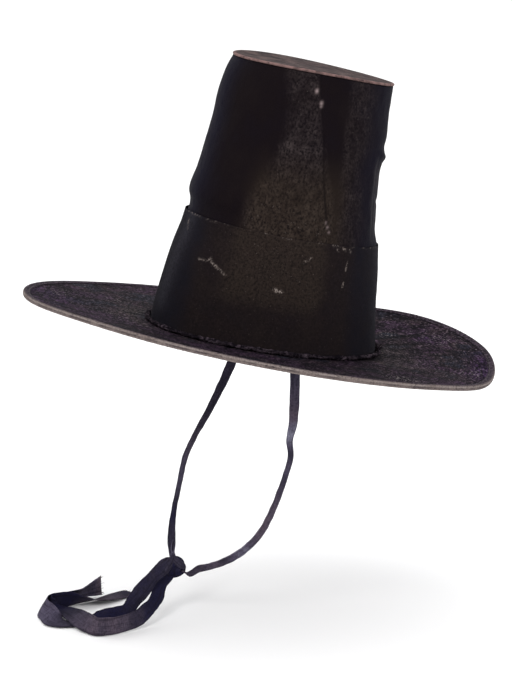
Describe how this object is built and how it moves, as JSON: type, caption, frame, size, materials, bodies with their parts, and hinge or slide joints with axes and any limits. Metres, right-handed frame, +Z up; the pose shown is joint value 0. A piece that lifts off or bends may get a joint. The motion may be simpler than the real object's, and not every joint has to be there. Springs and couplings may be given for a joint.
{
  "type": "welsh hat",
  "caption": "Tall plush hat with a flat-topped tapering crown, a deep cloth band, a round bound brim and long tapes tied under the chin.",
  "frame": {"origin": "middle of the head opening, at the underside of the brim's inner edge", "axes": "+Z up, -Y the wearer's front, +X the wearer's left; the hat is tipped back by 9.1 degrees about X"},
  "size_m": [0.3744, 0.3702, 0.4397],
  "materials": {
    "crown_plush": "black silk plush on a stiff shell",
    "tip_plush": "worn brown-grey plush",
    "brim_plush": "dark brushed plush",
    "binding_tape": "worn woven binding",
    "band_cloth": "plain woven cloth",
    "welt_cloth": "rolled cloth",
    "tie_tape": "faded soft woven tape"
  },
  "bodies": {
    "root": {"crown": "crown_plush", "crown_tip": "tip_plush", "brim": "brim_plush", "edge_binding": "binding_tape", "hat_band": "band_cloth", "base_welt": "welt_cloth", "tie_left": "tie_tape", "tie_right": "tie_tape", "tie_knot": "tie_tape", "tail_front": "tie_tape", "tail_back": "tie_tape"}
  },
  "joints": []
}
